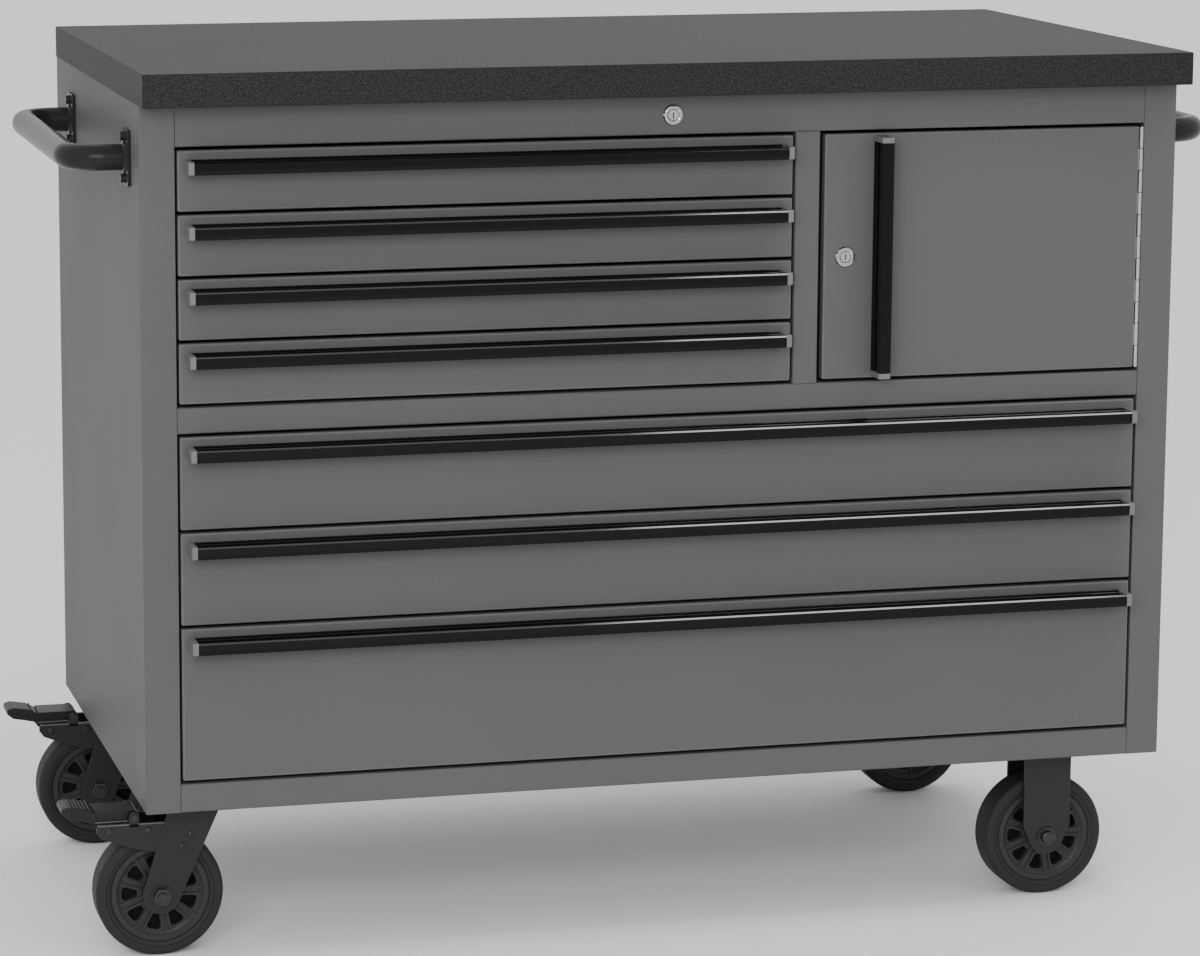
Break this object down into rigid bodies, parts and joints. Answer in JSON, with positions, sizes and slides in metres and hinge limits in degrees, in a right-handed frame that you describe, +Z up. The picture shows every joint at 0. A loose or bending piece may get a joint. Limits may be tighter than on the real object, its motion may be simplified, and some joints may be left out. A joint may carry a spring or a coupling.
{
  "type": "rolling tool chest",
  "caption": "Grey steel rolling tool chest with full-width and short drawers, a piano-hinged locker, a thick worktop, side push handles and braked casters.",
  "frame": {"origin": "on the floor, under the middle of the cabinet with its worktop", "axes": "+X along the width towards the locker, +Y from the drawer fronts to the back, +Z up"},
  "size_m": [1.41, 0.682, 1.04],
  "materials": {
    "body_paint": "satin mid-grey powder coat",
    "worktop_board": "fine speckled dark grey laminate",
    "handle_black": "gloss black coated extrusion with grey end caps",
    "tube_grey": "gloss dark grey paint",
    "tyre": "dark grey rubber",
    "wheel_core": "moulded dark grey plastic",
    "caster_steel": "black satin coated pressed steel",
    "lock_chrome": "polished chrome plate",
    "zinc": "bright zinc plate",
    "bolt_black": "black oxide"
  },
  "bodies": {
    "cabinet": {"worktop": "worktop_board", "side_panel_left": "body_paint", "side_panel_right": "body_paint", "slide_walls": "body_paint", "partition": "body_paint", "back_panel": "body_paint", "base_pan": "body_paint", "top_rail": "body_paint", "mid_rail": "body_paint", "bottom_rail": "body_paint", "locker_floor": "body_paint", "cabinet_slide_members": "zinc", "push_handle_left": "tube_grey", "push_handle_right": "tube_grey", "push_handle_bolts": "bolt_black", "main_lock_housing": "lock_chrome", "hinge_frame_leaf": "zinc", "swivel_plates": "caster_steel", "fixed_forks": "caster_steel", "caster_bolts": "zinc"},
    "drawer_1": {"drawer_1_box": "body_paint", "drawer_1_handle": "handle_black"},
    "drawer_2": {"drawer_2_box": "body_paint", "drawer_2_handle": "handle_black"},
    "drawer_3": {"drawer_3_box": "body_paint", "drawer_3_handle": "handle_black"},
    "drawer_4": {"drawer_4_box": "body_paint", "drawer_4_handle": "handle_black"},
    "drawer_5": {"drawer_5_box": "body_paint", "drawer_5_handle": "handle_black"},
    "drawer_6": {"drawer_6_box": "body_paint", "drawer_6_handle": "handle_black"},
    "drawer_7": {"drawer_7_box": "body_paint", "drawer_7_handle": "handle_black"},
    "slide_1": {"drawer_1_slide_mid": "zinc"},
    "slide_2": {"drawer_2_slide_mid": "zinc"},
    "slide_3": {"drawer_3_slide_mid": "zinc"},
    "slide_4": {"drawer_4_slide_mid": "zinc"},
    "slide_5": {"drawer_5_slide_mid": "zinc"},
    "slide_6": {"drawer_6_slide_mid": "zinc"},
    "slide_7": {"drawer_7_slide_mid": "zinc"},
    "door": {"door_panel": "body_paint", "door_handle": "handle_black", "door_lock_housing": "lock_chrome", "hinge_door_leaf": "zinc"},
    "main_lock": {"main_lock_cylinder": "lock_chrome"},
    "lock_bar": {"lock_bar": "zinc"},
    "door_lock": {"door_lock_cylinder": "lock_chrome"},
    "swivel_front": {"swivel_fork_front": "caster_steel"},
    "pedal_front": {"brake_pedal_front": "caster_steel"},
    "swivel_rear": {"swivel_fork_rear": "caster_steel"},
    "pedal_rear": {"brake_pedal_rear": "caster_steel"},
    "wheel_front_left": {"wheel_core_front_left": "wheel_core", "tyre_front_left": "tyre"},
    "wheel_rear_left": {"wheel_core_rear_left": "wheel_core", "tyre_rear_left": "tyre"},
    "wheel_front_right": {"wheel_core_front_right": "wheel_core", "tyre_front_right": "tyre"},
    "wheel_rear_right": {"wheel_core_rear_right": "wheel_core", "tyre_rear_right": "tyre"}
  },
  "joints": [
    {"name": "drawer_1_travel", "type": "slide", "parent": "cabinet", "child": "drawer_1", "axis": [0, -1, 0], "range_m": [0, 0.53]},
    {"name": "drawer_2_travel", "type": "slide", "parent": "cabinet", "child": "drawer_2", "axis": [0, -1, 0], "range_m": [0, 0.53]},
    {"name": "drawer_3_travel", "type": "slide", "parent": "cabinet", "child": "drawer_3", "axis": [0, -1, 0], "range_m": [0, 0.53]},
    {"name": "drawer_4_travel", "type": "slide", "parent": "cabinet", "child": "drawer_4", "axis": [0, -1, 0], "range_m": [0, 0.53]},
    {"name": "drawer_5_travel", "type": "slide", "parent": "cabinet", "child": "drawer_5", "axis": [0, -1, 0], "range_m": [0, 0.53]},
    {"name": "drawer_6_travel", "type": "slide", "parent": "cabinet", "child": "drawer_6", "axis": [0, -1, 0], "range_m": [0, 0.53]},
    {"name": "drawer_7_travel", "type": "slide", "parent": "cabinet", "child": "drawer_7", "axis": [0, -1, 0], "range_m": [0, 0.53]},
    {"name": "slide_1_travel", "type": "slide", "parent": "cabinet", "child": "slide_1", "axis": [0, -1, 0], "range_m": [0, 0.265]},
    {"name": "slide_2_travel", "type": "slide", "parent": "cabinet", "child": "slide_2", "axis": [0, -1, 0], "range_m": [0, 0.265]},
    {"name": "slide_3_travel", "type": "slide", "parent": "cabinet", "child": "slide_3", "axis": [0, -1, 0], "range_m": [0, 0.265]},
    {"name": "slide_4_travel", "type": "slide", "parent": "cabinet", "child": "slide_4", "axis": [0, -1, 0], "range_m": [0, 0.265]},
    {"name": "slide_5_travel", "type": "slide", "parent": "cabinet", "child": "slide_5", "axis": [0, -1, 0], "range_m": [0, 0.265]},
    {"name": "slide_6_travel", "type": "slide", "parent": "cabinet", "child": "slide_6", "axis": [0, -1, 0], "range_m": [0, 0.265]},
    {"name": "slide_7_travel", "type": "slide", "parent": "cabinet", "child": "slide_7", "axis": [0, -1, 0], "range_m": [0, 0.265]},
    {"name": "door_hinge", "type": "hinge", "parent": "cabinet", "child": "door", "pos_m": [0.577, -0.2975, 0.806], "axis": [0, 0, 1], "range_deg": [0, 120]},
    {"name": "main_lock_turn", "type": "hinge", "parent": "cabinet", "child": "main_lock", "pos_m": [0, -0.299, 0.977], "axis": [0, -1, 0], "range_deg": [0, 90]},
    {"name": "lock_bar_lift", "type": "slide", "parent": "cabinet", "child": "lock_bar", "axis": [0, 0, 1], "range_m": [0, 0.01697]},
    {"name": "door_lock_turn", "type": "hinge", "parent": "door", "child": "door_lock", "pos_m": [0.2105, -0.299, 0.806], "axis": [0, 1, 0], "range_deg": [0, 90]},
    {"name": "swivel_front_turn", "type": "hinge", "parent": "cabinet", "child": "swivel_front", "pos_m": [-0.55, -0.219, 0.172], "axis": [0, 0, 1], "continuous": true},
    {"name": "pedal_front_press", "type": "hinge", "parent": "swivel_front", "child": "pedal_front", "pos_m": [-0.626, -0.219, 0.17], "axis": [0, -1, 0], "range_deg": [0, 18]},
    {"name": "swivel_rear_turn", "type": "hinge", "parent": "cabinet", "child": "swivel_rear", "pos_m": [-0.55, 0.261, 0.172], "axis": [0, 0, 1], "continuous": true},
    {"name": "pedal_rear_press", "type": "hinge", "parent": "swivel_rear", "child": "pedal_rear", "pos_m": [-0.626, 0.261, 0.17], "axis": [0, -1, 0], "range_deg": [0, 18]},
    {"name": "wheel_front_left_roll", "type": "hinge", "parent": "swivel_front", "child": "wheel_front_left", "pos_m": [-0.595, -0.219, 0.075], "axis": [0, 1, 0], "continuous": true},
    {"name": "wheel_rear_left_roll", "type": "hinge", "parent": "swivel_rear", "child": "wheel_rear_left", "pos_m": [-0.595, 0.261, 0.075], "axis": [0, 1, 0], "continuous": true},
    {"name": "wheel_front_right_roll", "type": "hinge", "parent": "cabinet", "child": "wheel_front_right", "pos_m": [0.5, -0.219, 0.075], "axis": [0, 1, 0], "continuous": true},
    {"name": "wheel_rear_right_roll", "type": "hinge", "parent": "cabinet", "child": "wheel_rear_right", "pos_m": [0.5, 0.261, 0.075], "axis": [0, 1, 0], "continuous": true}
  ],
  "couplings": [
    {"joint": "slide_1_travel", "follows": "drawer_1_travel", "ratio": 0.5},
    {"joint": "slide_2_travel", "follows": "drawer_2_travel", "ratio": 0.5},
    {"joint": "slide_3_travel", "follows": "drawer_3_travel", "ratio": 0.5},
    {"joint": "slide_4_travel", "follows": "drawer_4_travel", "ratio": 0.5},
    {"joint": "slide_5_travel", "follows": "drawer_5_travel", "ratio": 0.5},
    {"joint": "slide_6_travel", "follows": "drawer_6_travel", "ratio": 0.5},
    {"joint": "slide_7_travel", "follows": "drawer_7_travel", "ratio": 0.5},
    {"joint": "main_lock_turn", "follows": "lock_bar_lift", "rad_per_m": 92.5}
  ]
}
